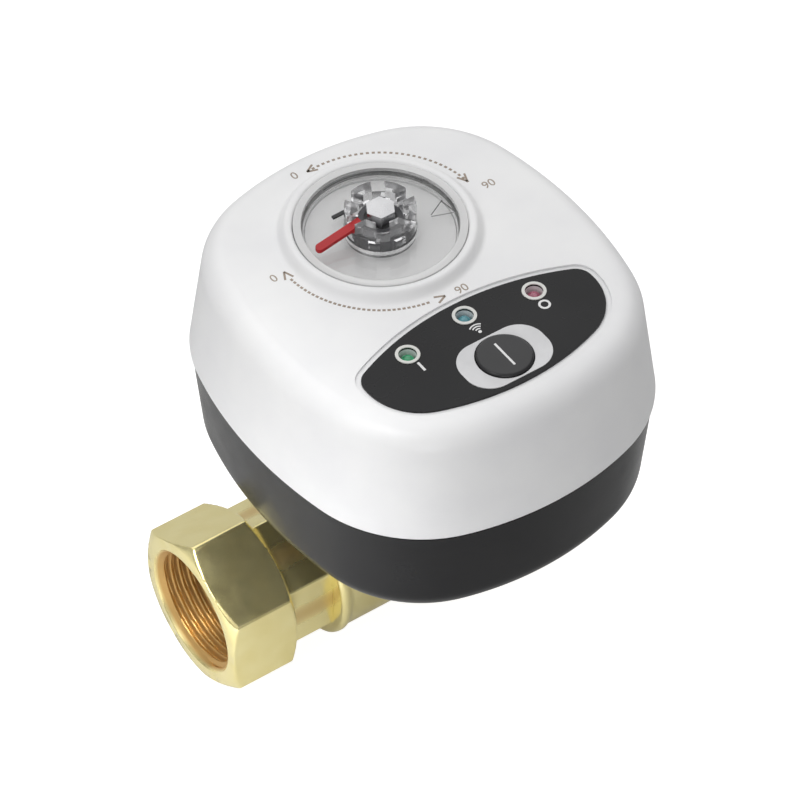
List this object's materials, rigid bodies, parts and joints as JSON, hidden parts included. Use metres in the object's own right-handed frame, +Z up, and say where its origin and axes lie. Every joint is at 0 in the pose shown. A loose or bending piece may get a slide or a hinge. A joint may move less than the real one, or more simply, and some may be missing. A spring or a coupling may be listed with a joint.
{
  "type": "smart water valve",
  "caption": "Motor driven brass ball valve with threaded pipe ends, plastic drive housing, clear dial with hand knob and pointer, and a lamp panel with a push button.",
  "frame": {"origin": "centre of port A's mouth, the threaded end that the picture shows", "axes": "+X along the pipe axis towards port B, +Z up the valve stem to the dial, the lamp panel towards -Y"},
  "size_m": [0.093, 0.0882, 0.1058],
  "materials": {
    "brass": "rough bright forged brass",
    "turned_brass": "turned",
    "ball_chrome": "polished plating",
    "ptfe": "white, waxy",
    "seal_rubber": "black",
    "silicone_grey": "pale, moulded",
    "shell_charcoal": "fine satin gloss",
    "cover_white": "fine texture",
    "zinc_steel": "zinc plated",
    "stainless": "ground",
    "gearbox_nylon": "black, moulded",
    "gear_acetal": "natural, moulded",
    "bush_bronze": "oiled",
    "motor_steel": "drawn can",
    "magnet_nickel": "nickel plated",
    "board_green": "lacquered",
    "radio_can": "tinned can",
    "connector_white": "moulded",
    "switch_black": "moulded",
    "led_green": "tinted lens",
    "led_blue": "tinted lens",
    "led_red": "tinted lens",
    "dial_grey": "printed",
    "clear_window": "clear, polished",
    "pointer_red": "red",
    "panel_black": "printed film",
    "trim_silver": "satin silver",
    "button_black": "satin"
  },
  "bodies": {
    "valve": {"end_adapter": "brass", "valve_body": "brass", "adapter_oring": "seal_rubber", "seat_upstream": "ptfe", "seat_downstream": "ptfe", "packing_ring": "ptfe", "gland_nut": "turned_brass", "neck_gasket": "seal_rubber", "clamp_washer": "zinc_steel", "clamp_nut": "zinc_steel", "lower_shell": "shell_charcoal", "upper_cover": "cover_white", "perimeter_gasket": "seal_rubber", "cover_screws": "zinc_steel", "power_inlet": "switch_black", "inlet_seal": "seal_rubber", "gearbox_base": "gearbox_nylon", "gearbox_lid": "gearbox_nylon", "gearbox_screws": "zinc_steel", "spindle_bush": "bush_bronze", "gear_motor": "motor_steel", "motor_screws": "zinc_steel", "intermediate_axle": "stainless", "sensor_board": "board_green", "control_board": "board_green", "board_screws": "zinc_steel", "tact_switch": "switch_black", "radio_module": "radio_can", "board_connector": "connector_white", "status_led_green": "led_green", "status_led_blue": "led_blue", "status_led_red": "led_red", "dial_plate": "dial_grey", "window_gasket": "silicone_grey", "dial_window": "clear_window", "panel_overlay": "panel_black", "led_bezels": "trim_silver", "button_bezel": "trim_silver"},
    "output": {"output_gear": "gear_acetal", "position_magnet": "magnet_nickel"},
    "spindle": {"drive_spindle": "stainless", "clutch_disc": "stainless", "clutch_springs": "stainless", "retaining_ring": "stainless", "stem": "turned_brass", "stem_orings": "seal_rubber", "stem_thrust_washer": "ptfe", "ball": "ball_chrome", "manual_knob": "clear_window", "pointer": "pointer_red"},
    "intermediate": {"intermediate_gear": "gear_acetal"},
    "motor": {"motor_pinion": "stainless"},
    "button": {"power_button": "button_black", "switch_plunger": "switch_black"}
  },
  "joints": [
    {"name": "output_turn", "type": "hinge", "parent": "valve", "child": "output", "pos_m": [0.0465, 0, 0.062], "axis": [0, 0, 1], "range_deg": [-90, 0]},
    {"name": "intermediate_turn", "type": "hinge", "parent": "valve", "child": "intermediate", "pos_m": [0.0465, -0.028, 0.065], "axis": [0, 0, 1], "range_deg": [0, 270]},
    {"name": "motor_turn", "type": "hinge", "parent": "valve", "child": "motor", "pos_m": [0.02653, -0.02151, 0.065], "axis": [0, 0, 1], "range_deg": [-675, 0]},
    {"name": "manual_turn", "type": "hinge", "parent": "output", "child": "spindle", "pos_m": [0.0465, 0, 0.062], "axis": [0, 0, 1], "range_deg": [-90, 90]},
    {"name": "button_press", "type": "slide", "parent": "valve", "child": "button", "axis": [0, 0, -1], "range_m": [0, 0.0006], "stiffness_N_per_m": 2500, "springref_m": -0.0002}
  ],
  "couplings": [
    {"joint": "intermediate_turn", "follows": "output_turn", "ratio": -3},
    {"joint": "motor_turn", "follows": "output_turn", "ratio": 7.5}
  ]
}
